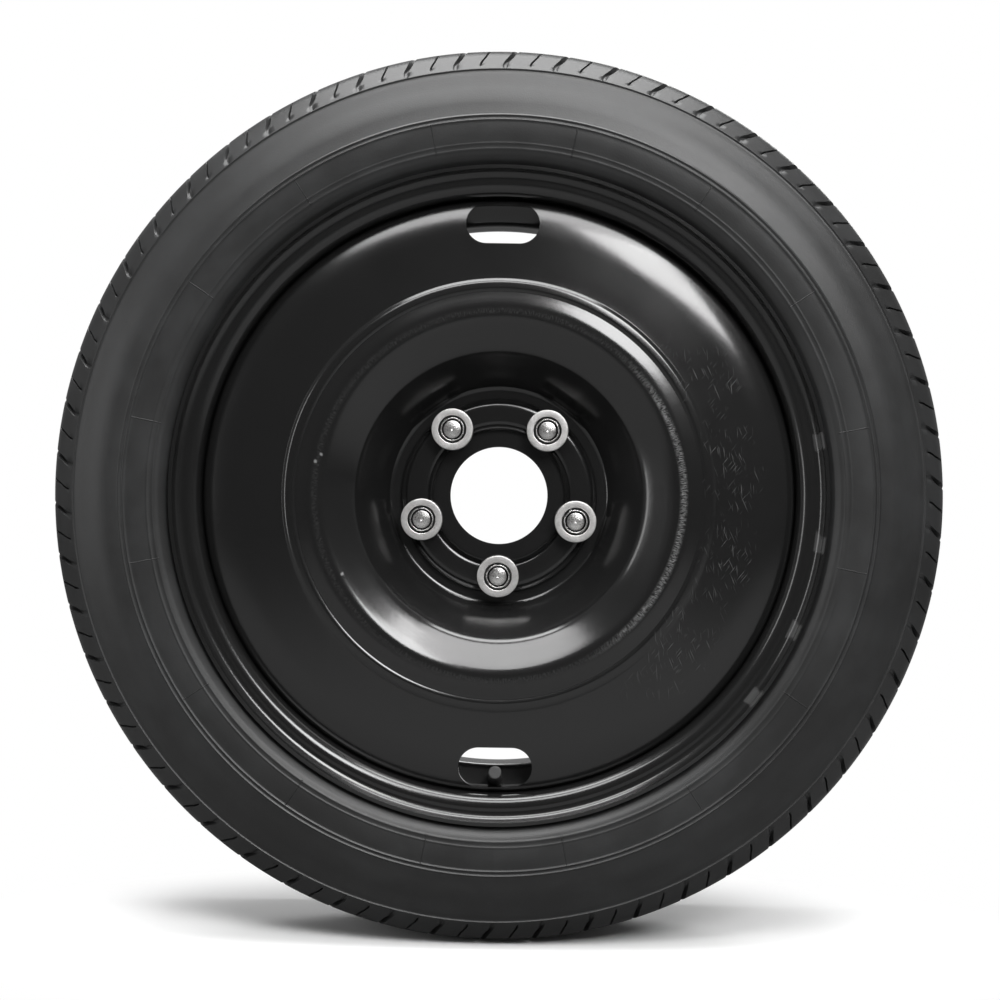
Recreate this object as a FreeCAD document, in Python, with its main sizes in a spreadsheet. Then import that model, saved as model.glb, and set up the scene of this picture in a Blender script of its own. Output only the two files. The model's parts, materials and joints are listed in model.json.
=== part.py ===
# Compact temporary spare wheel: a narrow tyre on a rolled steel rim with a pressed steel disc,
# five wheel bolts on loose collars, and a snap-in valve in the drop centre of the rim.
#
# Every piece is drawn lying flat, with its outer face up: local Z points outboard along the wheel's
# axis, local Y points to the top of the wheel. The last step stands it upright, so that the wheel
# turns about world Y, its outer face looks along -Y and its centre is at the origin.

import FreeCAD, Part
import math
import os
import Sketcher

V = FreeCAD.Vector
doc = FreeCAD.newDocument("spare_wheel")

SIZES = {
    # tyre
    "tyre_radius": 323.9,
    "tyre_half_width": 67.5,
    "widest_radius": 267.0,
    "widest_band": 22.0,
    "crown_half_width": 26.0,
    "tread_edge_radius": 320.4,
    "tread_half_width": 48.0,
    "shoulder_radius": 302.5,
    "shoulder_half_width": 60.0,
    "lower_side_radius": 243.0,
    "lower_side_half_width": 62.5,
    "crown_wall": 13.0,
    "side_wall": 7.0,
    "bead_width": 17.0,
    "bead_height": 14.0,
    "bead_clearance": 0.05,
    "tread_groove_width": 6.0,
    "tread_groove_depth": 5.5,
    "tread_groove_place": 17.0,
    # rim
    "rim_half_width": 50.8,
    "bead_seat_radius": 218.3,
    "flange_radius": 235.6,
    "flange_reach": 61.0,
    "flange_curl": 9.5,
    "rim_gauge": 2.6,
    "rim_bend": 2.5,
    "seat_bend": 6.5,
    "well_radius": 201.5,
    "well_front": 18.5,
    "well_back": -3.0,
    "well_lean": 20.0,
    # disc
    "disc_gauge": 4.0,
    "skirt_clearance": 0.05,
    "skirt_edge": 31.0,
    "rim_side_corner": 42.3,
    "rim_side_bend": 11.0,
    "bore_radius": 36.3,
    "pad_face": 7.0,
    "pad_radius": 80.5,
    "land_height": 1.5,
    "land_inner_radius": 53.0,
    "land_outer_radius": 69.0,
    "wall_run": 25.5,
    "wall_break_face": 39.0,
    "wall_top_run": 22.0,
    "crest_face": 51.5,
    "crest_width": 10.0,
    "crest_fall_run": 9.0,
    "step_face": 49.3,
    "step_width": 9.5,
    "step_height": 1.0,
    "hand_hole_length": 53.5,
    "hand_hole_height": 29.5,
    "hand_hole_radius": 196.7,
    "hand_hole_count": 2,
    # welds
    "weld_count": 6,
    "weld_sweep": 28.0,
    "weld_leg": 3.0,
    "weld_throat": 2.0,
    # bolts and collars
    "bolt_count": 5,
    "bolt_circle_radius": 60.0,
    "bolt_shank_radius": 7.0,
    "bolt_neck_relief": 0.3,
    "bolt_neck_run": 1.5,
    "bolt_hole_clearance": 0.6,
    "bolt_stand_out": 24.0,
    "bolt_across_flats": 17.0,
    "bolt_head_height": 8.0,
    "bolt_head_groove_radius": 7.3,
    "bolt_head_groove_width": 0.9,
    "bolt_head_groove_depth": 1.2,
    "seat_angle": 30.0,
    "seat_clearance": 0.05,
    "collar_radius": 15.5,
    "collar_height": 10.0,
    "collar_wall": 5.2,
    "collar_floor": 2.0,
    # valve
    "valve_hole_radius": 4.4,
    "valve_radius": 208.0,
    "valve_foot_radius": 5.6,
    "valve_foot_height": 3.0,
    "valve_shoulder_radius": 5.4,
    "valve_body_length": 13.0,
    "valve_tip_radius": 4.9,
    "valve_fit": 0.05,
    "stem_radius": 3.85,
    "stem_stand_out": 8.0,
    "stem_bore_radius": 2.1,
    "stem_bore_step": 1.4,
    "core_length": 9.0,
    "core_wall": 0.5,
    "core_setback": 0.6,
    "core_bridge": 1.5,
    "core_foot_lip": 1.0,
    "pin_radius": 0.5,
    "pin_collar_radius": 1.25,
    "pin_collar_height": 0.5,
    "pin_setback": 0.2,
    "pin_travel": 1.2,
    "plunger_height": 1.2,
    "seal_height": 1.0,
    "spring_radius": 1.05,
    "spring_wire_radius": 0.15,
    "spring_coils": 5,
    "running_gap": 0.08,
    "cap_radius": 5.0,
    "cap_top": 1.4,
    "cap_foot_gap": 0.3,
    "cap_seal_height": 0.9,
}

sheet = doc.addObject("Spreadsheet::Sheet", "Sizes")
for row, (name, value) in enumerate(SIZES.items(), start=1):
    sheet.set(f"A{row}", name)
    sheet.set(f"B{row}", str(value))
    sheet.setAlias(f"B{row}", name)
doc.recompute()


def size(name):
    """A driving dimension, read back from the sheet."""
    return float(sheet.get(name))


def tan(degrees):
    return math.tan(math.radians(degrees))


UPRIGHT = FreeCAD.Placement(V(0, 0, 0), FreeCAD.Rotation(V(1, 0, 0), 90))


def body_named(name, placement=UPRIGHT):
    body = doc.addObject("PartDesign::Body", name)
    body.Label = name
    body.Placement = placement
    return body


def plane(body, role):
    return next(item for item in body.Origin.OriginFeatures if item.Role == role)


def sketch_in(body, name, role):
    sketch = body.newObject("Sketcher::SketchObject", name)
    sketch.AttachmentSupport = [(plane(body, role), "")]
    sketch.MapMode = "FlatFace"
    return sketch


def draw_outline(sketch, corners):
    """Closed outline through corners (x, y, bend radius), each bend a tangent arc."""
    points = [V(x, y, 0) for x, y, bend in corners]
    count = len(points)
    halves = []
    for index, here in enumerate(points):
        halves.append((points[index - 1] - here).getAngle(points[(index + 1) % count] - here) / 2)
    wanted = [bend / math.tan(half) for (x, y, bend), half in zip(corners, halves)]
    shares = []
    for index, here in enumerate(points):
        length = (points[(index + 1) % count] - here).Length
        needed = wanted[index] + wanted[(index + 1) % count]
        shares.append(min(1, length / needed) if needed else 1)
    spans = []
    for index, (x, y, bend) in enumerate(corners):
        here, half = points[index], halves[index]
        back = (points[index - 1] - here).normalize()
        ahead = (points[(index + 1) % count] - here).normalize()
        share = min(shares[index - 1], shares[index])
        bend, reach = bend * share, wanted[index] * share
        centre = here + (back + ahead).normalize() * (bend / math.sin(half)) if bend else here
        middle = centre + (here - centre).normalize() * bend if bend else here
        spans.append((here + back * reach, middle, here + ahead * reach))
    for index, (start, middle, end) in enumerate(spans):
        if corners[index][2]:
            sketch.addGeometry(Part.Arc(start, middle, end))
        following = spans[(index + 1) % len(spans)][0]
        if (following - end).Length > 1e-6:
            sketch.addGeometry(Part.LineSegment(end, following))


def sheet_outline(face, gauge):
    """Outline of a bent sheet: the corners (x, y, bend) of one face, then the same line set off by
    the gauge to the right of its direction. The bend given is the tight one of the two faces."""
    count = len(face)
    points = [V(x, y, 0) for x, y, bend in face]
    sides = [(points[i + 1] - points[i]).normalize() for i in range(count - 1)]
    right = [V(side.y, -side.x, 0) for side in sides]
    first, second = [], []
    for i, (x, y, bend) in enumerate(face):
        before = right[max(i - 1, 0)]
        after = right[min(i, count - 2)]
        shift = (before + after) * (gauge / (1 + before.dot(after)))
        turns_right = i not in (0, count - 1) and sides[i - 1].cross(sides[i]).z < 0
        near = bend + gauge if bend and turns_right else bend
        far = bend + gauge if bend and not turns_right else bend
        moved = points[i] + shift
        first.append((x, y, near))
        second.append((moved.x, moved.y, far))
    return first + second[::-1]


def turned(body, name, corners):
    """A closed (radius, height) outline turned about the body's Z axis."""
    sketch = sketch_in(body, name + "_outline", "XZ_Plane")
    draw_outline(sketch, corners)
    turn = body.newObject("PartDesign::Revolution", name)
    turn.Profile = sketch
    turn.ReferenceAxis = (sketch, ["V_Axis"])
    turn.Angle = 360
    doc.recompute()
    return turn


def turned_cut(body, name, corners):
    sketch = sketch_in(body, name + "_outline", "XZ_Plane")
    draw_outline(sketch, corners)
    before = body.Shape.Volume
    cut = body.newObject("PartDesign::Groove", name)
    cut.Profile = sketch
    cut.ReferenceAxis = (sketch, ["V_Axis"])
    cut.Angle = 360
    doc.recompute()
    if body.Shape.Volume > before - 1e-3:
        raise RuntimeError(name + " cuts nothing")
    return cut


def cut_through(body, name, sketch):
    """Pocket right through the body along its Z axis."""
    before = body.Shape.Volume
    pocket = body.newObject("PartDesign::Pocket", name)
    pocket.Profile = sketch
    pocket.Type = "ThroughAll"
    pocket.Midplane = True
    doc.recompute()
    if body.Shape.Volume > before - 1e-3:
        raise RuntimeError(name + " cuts nothing")
    return pocket


def repeat_round(body, feature, count_name):
    pattern = body.newObject("PartDesign::PolarPattern", feature.Name + "_round")
    pattern.Originals = [feature]
    pattern.Axis = (plane(body, "Z_Axis"), [""])
    pattern.Angle = 360
    pattern.setExpression("Occurrences", "Sizes." + count_name)
    body.Tip = pattern
    doc.recompute()
    return pattern


def group_round(name, piece, count_name):
    """The separate copies of one piece, spaced evenly round the wheel's axis."""
    count = int(size(count_name))
    group = doc.addObject("Part::Feature", name)
    group.Label = name
    copies = []
    for index in range(count):
        copy = piece.copy()
        copy.rotate(V(0, 0, 0), V(0, 0, 1), index * 360 / count)
        copies.append(copy)
    group.Shape = Part.makeCompound(copies)
    group.Placement = UPRIGHT
    return group


# Sizes that several pieces share
SEAT_INSIDE = size("bead_seat_radius") - size("rim_gauge")
WELL_DROP = size("bead_seat_radius") - size("well_radius")
WELL_RUN = WELL_DROP * tan(size("well_lean"))
WALL_SHIFT = size("rim_gauge") * tan((90 - size("well_lean")) / 2)
DISC_BACK = size("pad_face") + size("land_height") - size("disc_gauge")
LAND_FACE = size("pad_face") + size("land_height")


def make_tyre():
    """Moulded tyre: crown, shoulders, sidewalls and two beads that seat on the rim."""
    body = body_named("tyre")
    seat = size("bead_seat_radius") + size("bead_clearance")
    heel = size("rim_half_width") - size("bead_clearance")
    toe = heel - size("bead_width")
    crown = size("tyre_radius") - size("crown_wall")
    wall = size("side_wall")
    band = size("widest_band") / 2
    bead_top = seat + size("bead_height")
    side = [
        (size("tyre_radius"), size("crown_half_width"), 90),
        (size("tread_edge_radius"), size("tread_half_width"), 14),
        (size("shoulder_radius"), size("shoulder_half_width"), 20),
        (size("widest_radius") + band, size("tyre_half_width"), 60),
        (size("widest_radius") - band, size("tyre_half_width"), 50),
        (size("lower_side_radius"), size("lower_side_half_width"), 8),
        (size("flange_radius") - 5.5, heel, 7),
        (seat, heel, size("seat_bend") + 0.5),
        (seat, toe, 2),
        (bead_top, toe, 8),
        (size("lower_side_radius") + 6, size("lower_side_half_width") - wall - 2, 14),
        (size("widest_radius"), size("tyre_half_width") - wall, 34),
        (size("shoulder_radius") - 4, size("shoulder_half_width") - wall - 4, 20),
        (crown, size("crown_half_width"), 30),
    ]
    outside, inside = side[:8], side[8:]
    back_inside = [(x, -y, bend) for x, y, bend in inside[::-1]]
    back_outside = [(x, -y, bend) for x, y, bend in outside[::-1]]
    turned(body, "tyre_section", outside + inside + back_inside + back_outside)
    floor = size("tyre_radius") - size("tread_groove_depth")
    half = size("tread_groove_width") / 2
    above = size("tyre_radius") + 1
    out = size("tread_groove_place")
    for label, place in (("outer", out), ("middle", 0), ("inner", -out)):
        turned_cut(body, "tread_groove_" + label, [
            (above, place - half - 0.8, 0),
            (floor, place - half, 1),
            (floor, place + half, 1),
            (above, place + half + 0.8, 0),
        ])
    return body


def make_rim():
    """Rolled rim: curled flanges, bead seats and the drop centre, one sheet throughout."""
    body = body_named("rim")
    bend = size("rim_bend")
    curl = size("flange_curl") - size("rim_gauge")
    seat_bend = size("seat_bend")
    lip, seat = size("flange_radius"), size("bead_seat_radius")
    face = size("rim_half_width")
    front = [
        (lip, size("flange_reach"), 0),
        (lip, face, curl),
        (seat, face, seat_bend),
        (seat, size("well_front") + WELL_RUN, bend),
        (size("well_radius"), size("well_front"), bend),
    ]
    back = [
        (size("well_radius"), size("well_back"), bend),
        (seat, size("well_back") - WELL_RUN, bend),
        (seat, -face, seat_bend),
        (lip, -face, curl),
        (lip, -size("flange_reach"), 0),
    ]
    turned(body, "rim_section", sheet_outline(front + back, size("rim_gauge")))
    hole = body.newObject("Sketcher::SketchObject", "valve_hole_outline")
    hole.AttachmentSupport = [(plane(body, "XY_Plane"), "")]
    hole.MapMode = "FlatFace"
    hole.AttachmentOffset = VALVE_SEAT
    hole.addGeometry(Part.Circle(V(0, 0, 0), V(0, 0, 1), size("valve_hole_radius")))
    index = hole.addConstraint(Sketcher.Constraint("Radius", 0, size("valve_hole_radius")))
    hole.setExpression(f"Constraints[{index}]", "Sizes.valve_hole_radius")
    before = body.Shape.Volume
    pocket = body.newObject("PartDesign::Pocket", "valve_hole")
    pocket.Profile = hole
    pocket.Midplane = True
    pocket.setExpression("Length", "4 * Sizes.rim_gauge")
    doc.recompute()
    if body.Shape.Volume > before - 1e-3:
        raise RuntimeError("the valve hole cuts nothing")
    return body


def make_disc():
    """Pressed disc: hub pad with a raised bolt land, dish wall, crest, step, dome and outer skirt."""
    body = body_named("wheel_disc")
    skirt = SEAT_INSIDE - size("skirt_clearance")
    pad, land = size("pad_face"), LAND_FACE
    wall_break = size("pad_radius") + size("wall_run")
    crest_inner = wall_break + size("wall_top_run")
    crest_outer = crest_inner + size("crest_width")
    step, step_face = crest_outer + size("crest_fall_run"), size("step_face")
    top = step_face + size("step_height")
    slope = size("land_height") / 2
    face = [
        (size("bore_radius"), pad, 0),
        (size("land_inner_radius") - slope, pad, 2),
        (size("land_inner_radius") + slope, land, 2),
        (size("land_outer_radius") - slope, land, 2),
        (size("land_outer_radius") + slope, pad, 2),
        (size("pad_radius"), pad, 5),
        (wall_break, size("wall_break_face"), 12),
        (crest_inner, size("crest_face"), 10),
        (crest_outer, size("crest_face"), 10),
        (step, step_face, 1),
        (step + 2, top, 1),
        (step + size("step_width") - 2.5, top - 0.6, 1),
        (step + size("step_width"), step_face - 1.4, 1),
        (skirt, size("rim_side_corner"), size("rim_side_bend") - size("disc_gauge")),
        (skirt, size("skirt_edge"), 0),
    ]
    turned(body, "disc_section", sheet_outline(face, size("disc_gauge")))

    hole = sketch_in(body, "hand_hole_outline", "XY_Plane")
    radius = size("hand_hole_height") / 2
    reach = size("hand_hole_length") / 2 - radius
    middle = size("hand_hole_radius")
    hole.addGeometry([
        Part.LineSegment(V(-reach, middle + radius, 0), V(reach, middle + radius, 0)),
        Part.Arc(V(reach, middle + radius, 0), V(reach + radius, middle, 0), V(reach, middle - radius, 0)),
        Part.LineSegment(V(reach, middle - radius, 0), V(-reach, middle - radius, 0)),
        Part.Arc(V(-reach, middle - radius, 0), V(-reach - radius, middle, 0), V(-reach, middle + radius, 0)),
    ])
    repeat_round(body, cut_through(body, "hand_hole", hole), "hand_hole_count")

    bolt_hole = sketch_in(body, "bolt_hole_outline", "XY_Plane")
    clear = size("bolt_shank_radius") + size("bolt_hole_clearance")
    bolt_hole.addGeometry(Part.Circle(V(0, -size("bolt_circle_radius"), 0), V(0, 0, 1), clear))
    rows = bolt_hole.addConstraint([
        Sketcher.Constraint("PointOnObject", 0, 3, -2),
        Sketcher.Constraint("DistanceY", 0, 3, -1, 1, size("bolt_circle_radius")),
        Sketcher.Constraint("Radius", 0, clear),
    ])
    bolt_hole.setExpression(f"Constraints[{rows[1]}]", "Sizes.bolt_circle_radius")
    bolt_hole.setExpression(f"Constraints[{rows[2]}]", "Sizes.bolt_shank_radius + Sizes.bolt_hole_clearance")
    repeat_round(body, cut_through(body, "bolt_hole", bolt_hole), "bolt_count")

    seat = sketch_in(body, "bolt_seat_outline", "YZ_Plane")
    along = -size("bolt_circle_radius")
    mouth = seat_mouth_radius()
    draw_outline(seat, [
        (along, land + 1, 0),
        (along, DISC_BACK, 0),
        (along + clear, DISC_BACK, 0),
        (along + mouth, land, 0),
        (along + mouth + tan(size("seat_angle")), land + 1, 0),
    ])
    seat.addGeometry(Part.LineSegment(V(along, 0, 0), V(along, 10, 0)), True)
    before = body.Shape.Volume
    cone = body.newObject("PartDesign::Groove", "bolt_seat")
    cone.Profile = seat
    cone.ReferenceAxis = (seat, ["Axis0"])
    cone.Angle = 360
    doc.recompute()
    if body.Shape.Volume > before - 1e-3:
        raise RuntimeError("the bolt seat cuts nothing")
    repeat_round(body, cone, "bolt_count")
    return body


def seat_mouth_radius():
    """Radius of the coned bolt seat where it opens on the face of the land."""
    clear = size("bolt_shank_radius") + size("bolt_hole_clearance")
    return clear + size("disc_gauge") * tan(size("seat_angle"))


def make_welds():
    """Fillet weld runs between the inner edge of the disc's skirt and the rim."""
    edge, inside = size("skirt_edge"), SEAT_INSIDE
    outline = Part.makePolygon([
        V(inside, 0, edge),
        V(inside - size("weld_leg"), 0, edge),
        V(inside, 0, edge - size("weld_throat")),
        V(inside, 0, edge),
    ])
    run = Part.Face(outline).revolve(V(0, 0, 0), V(0, 0, 1), size("weld_sweep"))
    run.rotate(V(0, 0, 0), V(0, 0, 1), -size("weld_sweep") / 2)
    return group_round("disc_welds", run, "weld_count")


def make_bolts():
    """Wheel bolt: shank, relieved neck through the disc, hex head with a ringed face and a dimple."""
    head_base = LAND_FACE + size("collar_floor")
    head_face = head_base + size("bolt_head_height")
    shank_end = size("pad_face") - size("disc_gauge") - size("bolt_stand_out")
    shank, flats = size("bolt_shank_radius"), size("bolt_across_flats")
    neck = shank - size("bolt_neck_relief")
    neck_end = size("pad_face") - size("disc_gauge") - size("bolt_neck_run")
    chamfer = 0.8
    groove, width = size("bolt_head_groove_radius"), size("bolt_head_groove_width")
    corner = flats / math.sqrt(3)
    disc = body_named("lug_bolt", FreeCAD.Placement())
    turned(disc, "bolt_turning", [
        (0, shank_end, 0),
        (shank - 1.2, shank_end, 0),
        (shank, shank_end + 1.2, 0),
        (shank, neck_end, 0),
        (neck, neck_end, 0),
        (neck, head_base, 0),
        (corner, head_base, 0),
        (corner, head_face - chamfer, 0),
        (flats / 2 + 0.2, head_face, 0),
        (groove + width / 2, head_face, 0),
        (groove + width / 2, head_face - size("bolt_head_groove_depth"), 0),
        (groove - width / 2, head_face - size("bolt_head_groove_depth"), 0),
        (groove - width / 2, head_face - 0.3, 0),
        (1, head_face - 0.3, 0),
        (0, head_face - 0.9, 0),
    ])
    hexagon = sketch_in(disc, "hexagon", "XY_Plane")
    turns = [math.radians(30 + 60 * index) for index in range(6)]
    ring = [V(corner * math.cos(turn), corner * math.sin(turn), 0) for turn in turns]
    hexagon.addGeometry([Part.LineSegment(ring[i - 1], ring[i]) for i in range(6)])
    hexagon.addGeometry(Part.Circle(V(0, 0, 0), V(0, 0, 1), corner * 1.5))
    cut_through(disc, "hexagon_flats", hexagon)
    bolt = disc.Shape.copy()
    bolt.translate(V(0, -size("bolt_circle_radius"), 0))
    return group_round("lug_bolts", bolt, "bolt_count")


def make_collars():
    """Loose collar: a coned foot in the disc's seat, a flat rim on the land, a cup for the head."""
    floor = LAND_FACE + size("collar_floor")
    top = LAND_FACE + size("collar_height")
    outer = size("collar_radius")
    gap = size("seat_clearance")
    mouth = seat_mouth_radius() - gap
    depth = size("disc_gauge") / 2
    hole = size("bolt_shank_radius") + 0.2
    collar = body_named("lug_collar", FreeCAD.Placement())
    turned(collar, "collar_turning", [
        (hole, LAND_FACE - depth, 0),
        (mouth - depth * tan(size("seat_angle")), LAND_FACE - depth, 0),
        (mouth, LAND_FACE, 0),
        (outer, LAND_FACE, 0),
        (outer, top - 0.6, 0),
        (outer - 0.6, top, 0),
        (outer - size("collar_wall"), top, 0),
        (outer - size("collar_wall"), floor, 0),
        (hole, floor, 0),
    ])
    ring = collar.Shape.copy()
    ring.translate(V(0, -size("bolt_circle_radius"), 0))
    return group_round("lug_collars", ring, "bolt_count")


# The valve stands in the front wall of the drop centre, at the bottom of the wheel, and leans in.
VALVE_HEIGHT = (size("well_front") + WALL_SHIFT
                + (size("valve_radius") - size("well_radius") + size("rim_gauge")) * tan(size("well_lean")))
VALVE_SEAT = FreeCAD.Placement(V(0, -size("valve_radius"), VALVE_HEIGHT),
                               FreeCAD.Rotation(V(1, 0, 0), -size("well_lean")))
VALVE = UPRIGHT.multiply(VALVE_SEAT)

# Heights along the valve, from the rim's inner face outwards
BODY_END = size("valve_body_length")
STEM_END = BODY_END + size("stem_stand_out")
STEM_FOOT = -size("rim_gauge") - size("valve_foot_height")
CORE_TOP = STEM_END - size("core_setback")
CORE_FOOT = CORE_TOP - size("core_length")
CORE_INSIDE = size("stem_bore_radius") - size("core_wall")
PIN_TOP = STEM_END - size("pin_setback")
SEAL_TOP = CORE_FOOT - size("running_gap")
PLUNGER_TOP = SEAL_TOP - size("seal_height")
PLUNGER_FOOT = PLUNGER_TOP - size("plunger_height")
STEM_STEP = PLUNGER_FOOT - 2 * size("pin_travel")
CAP_SEAL_FOOT = STEM_END + size("running_gap")


def make_valve_body():
    """Rubber snap-in body: foot inside the rim, neck in the hole, tapered outer part."""
    body = body_named("valve_body", VALVE)
    wall = -size("rim_gauge")
    neck = size("valve_hole_radius") - size("valve_fit")
    bore = size("stem_radius")
    turned(body, "valve_body_turning", [
        (bore, STEM_FOOT, 0),
        (size("valve_foot_radius") - 1, STEM_FOOT, 1),
        (size("valve_foot_radius"), wall - size("valve_fit"), 0),
        (neck, wall - size("valve_fit"), 0),
        (neck, size("valve_fit"), 0),
        (size("valve_shoulder_radius"), size("valve_fit"), 0.5),
        (size("valve_tip_radius"), BODY_END, 0.8),
        (bore, BODY_END, 0),
    ])
    return body


def make_valve_stem():
    """Brass tube in the rubber body, with a seat for the core part of the way down."""
    body = body_named("valve_stem", VALVE)
    turned(body, "valve_stem_turning", [
        (size("stem_bore_step"), STEM_FOOT + 1, 0),
        (size("stem_radius"), STEM_FOOT + 1, 0),
        (size("stem_radius"), STEM_END - 0.5, 0),
        (size("stem_radius") - 0.5, STEM_END, 0),
        (size("stem_bore_radius"), STEM_END, 0),
        (size("stem_bore_radius"), STEM_STEP, 0),
        (size("stem_bore_step"), STEM_STEP, 0),
    ])
    return body


COLLAR_TOP = CORE_TOP - size("core_bridge") - size("running_gap")
COLLAR_FOOT = COLLAR_TOP - size("pin_collar_height")


def make_valve_core():
    """Barrel of the core, screwed into the stem: a bridge at the top guides the pin."""
    body = body_named("valve_core", VALVE)
    guide = size("pin_radius") + size("running_gap")
    bridge, lip = CORE_TOP - size("core_bridge"), CORE_FOOT + size("core_foot_lip")
    turned(body, "valve_core_turning", [
        (guide, CORE_FOOT, 0),
        (size("stem_bore_radius"), CORE_FOOT, 0),
        (size("stem_bore_radius"), CORE_TOP, 0),
        (guide, CORE_TOP, 0),
        (guide, bridge, 0),
        (CORE_INSIDE, bridge, 0),
        (CORE_INSIDE, lip, 0),
        (guide, lip, 0),
    ])
    return body


def make_valve_pin():
    """Pin through the core: a collar for the spring, and a plunger at its foot for the seal."""
    body = body_named("valve_pin", VALVE)
    turned(body, "valve_pin_turning", [
        (0, PLUNGER_FOOT, 0),
        (CORE_INSIDE, PLUNGER_FOOT, 0),
        (CORE_INSIDE, PLUNGER_TOP, 0),
        (size("pin_radius"), PLUNGER_TOP, 0),
        (size("pin_radius"), COLLAR_FOOT, 0),
        (size("pin_collar_radius"), COLLAR_FOOT, 0),
        (size("pin_collar_radius"), COLLAR_TOP, 0),
        (size("pin_radius"), COLLAR_TOP, 0),
        (size("pin_radius"), PIN_TOP, 0),
        (0, PIN_TOP, 0),
    ])
    return body


def make_valve_seal():
    """Rubber ring on the plunger, which closes the foot of the core."""
    body = body_named("valve_seal", VALVE)
    turned(body, "valve_seal_turning", [
        (size("pin_radius"), PLUNGER_TOP, 0),
        (CORE_INSIDE, PLUNGER_TOP, 0),
        (CORE_INSIDE, SEAL_TOP, 0),
        (size("pin_radius"), SEAL_TOP, 0),
    ])
    return body


def make_valve_spring():
    """Coil spring inside the core, from its foot up to the collar of the pin. Each half turn is an
    arc that leans by half the pitch, so that every arc runs on from the one before."""
    wire, coil = size("spring_wire_radius"), size("spring_radius")
    gap = size("running_gap")
    start = CORE_FOOT + size("core_foot_lip") + wire + gap
    height = COLLAR_FOOT - wire - gap - start
    halves = 2 * int(size("spring_coils"))
    rise = height / halves
    arcs = []
    for index in range(halves):
        side = 1 if index % 2 == 0 else -1
        section = Part.Face(Part.Wire(Part.makeCircle(wire, V(side * coil, 0, index * rise), V(0, 1, 0))))
        arcs.append(section.revolve(V(0, 0, (index + 0.5) * rise), V(side * rise, 0, 2 * coil), 180))
    spring = doc.addObject("Part::Feature", "valve_spring")
    spring.Label = "valve_spring"
    spring.Shape = arcs[0].multiFuse(arcs[1:])
    spring.Placement = VALVE.multiply(FreeCAD.Placement(V(0, 0, start), FreeCAD.Rotation()))
    return spring


def make_valve_cap_seal():
    """Rubber washer in the top of the cap."""
    body = body_named("valve_cap_seal", VALVE)
    inside = size("stem_radius") + size("running_gap")
    turned(body, "valve_cap_seal_turning", [
        (size("stem_bore_radius"), CAP_SEAL_FOOT, 0),
        (inside, CAP_SEAL_FOOT, 0),
        (inside, CAP_SEAL_FOOT + size("cap_seal_height"), 0),
        (size("stem_bore_radius"), CAP_SEAL_FOOT + size("cap_seal_height"), 0),
    ])
    return body


def make_valve_cap():
    """Moulded screw cap over the threaded end of the stem."""
    body = body_named("valve_cap", VALVE)
    inside = size("stem_radius") + size("running_gap")
    foot = BODY_END + size("cap_foot_gap")
    ceiling = CAP_SEAL_FOOT + size("cap_seal_height")
    top = ceiling + size("cap_top")
    turned(body, "valve_cap_turning", [
        (inside, foot, 0),
        (size("cap_radius"), foot, 0.4),
        (size("cap_radius") - 0.2, top, 1.0),
        (0, top, 0),
        (0, ceiling, 0),
        (inside, ceiling, 0),
    ])
    return body


def check_and_write(pieces):
    """Every object must have rebuilt, and every piece must be a sound solid, before any is written."""
    doc.recompute()
    for item in doc.Objects:
        if "Invalid" in item.State or "Error" in item.State:
            raise RuntimeError(f"{item.Label} did not rebuild: {item.State}")
    for piece in pieces:
        if piece.Shape.isNull() or not piece.Shape.isValid() or not piece.Shape.Solids:
            raise RuntimeError(piece.Label + " is not a sound solid")
    os.makedirs("parts", exist_ok=True)
    for piece in pieces:
        piece.Shape.exportStep(f"parts/{piece.Label}.step")


check_and_write([
    make_tyre(),
    make_rim(),
    make_disc(),
    make_welds(),
    make_bolts(),
    make_collars(),
    make_valve_body(),
    make_valve_stem(),
    make_valve_core(),
    make_valve_pin(),
    make_valve_seal(),
    make_valve_spring(),
    make_valve_cap_seal(),
    make_valve_cap(),
])
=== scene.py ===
import json
import math

import bmesh
import bpy
import numpy as np
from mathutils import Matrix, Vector


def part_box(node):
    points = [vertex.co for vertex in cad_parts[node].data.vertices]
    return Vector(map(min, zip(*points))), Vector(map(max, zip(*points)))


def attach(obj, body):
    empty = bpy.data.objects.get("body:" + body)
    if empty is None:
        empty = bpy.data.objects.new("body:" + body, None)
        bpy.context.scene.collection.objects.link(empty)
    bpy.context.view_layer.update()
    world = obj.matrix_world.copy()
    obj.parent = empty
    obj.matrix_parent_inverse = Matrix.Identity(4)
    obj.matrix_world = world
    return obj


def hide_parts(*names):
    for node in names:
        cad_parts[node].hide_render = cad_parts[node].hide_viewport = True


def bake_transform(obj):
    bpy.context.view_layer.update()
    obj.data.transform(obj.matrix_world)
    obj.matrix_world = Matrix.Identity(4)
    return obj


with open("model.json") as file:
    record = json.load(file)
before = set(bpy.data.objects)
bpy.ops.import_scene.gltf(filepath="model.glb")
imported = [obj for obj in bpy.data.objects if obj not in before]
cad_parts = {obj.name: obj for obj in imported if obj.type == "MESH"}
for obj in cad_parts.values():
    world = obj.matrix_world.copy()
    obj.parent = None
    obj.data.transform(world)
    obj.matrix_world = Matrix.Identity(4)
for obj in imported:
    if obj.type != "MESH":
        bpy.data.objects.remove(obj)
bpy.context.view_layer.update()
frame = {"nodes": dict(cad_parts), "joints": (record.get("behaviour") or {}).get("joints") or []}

MM = 0.001

# The wheel turns about Y and its outer face looks along -Y. A point of the wheel is given by its
# radius, its reach outboard (which is -y) and its angle, clockwise from the top as seen from outside.

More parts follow.
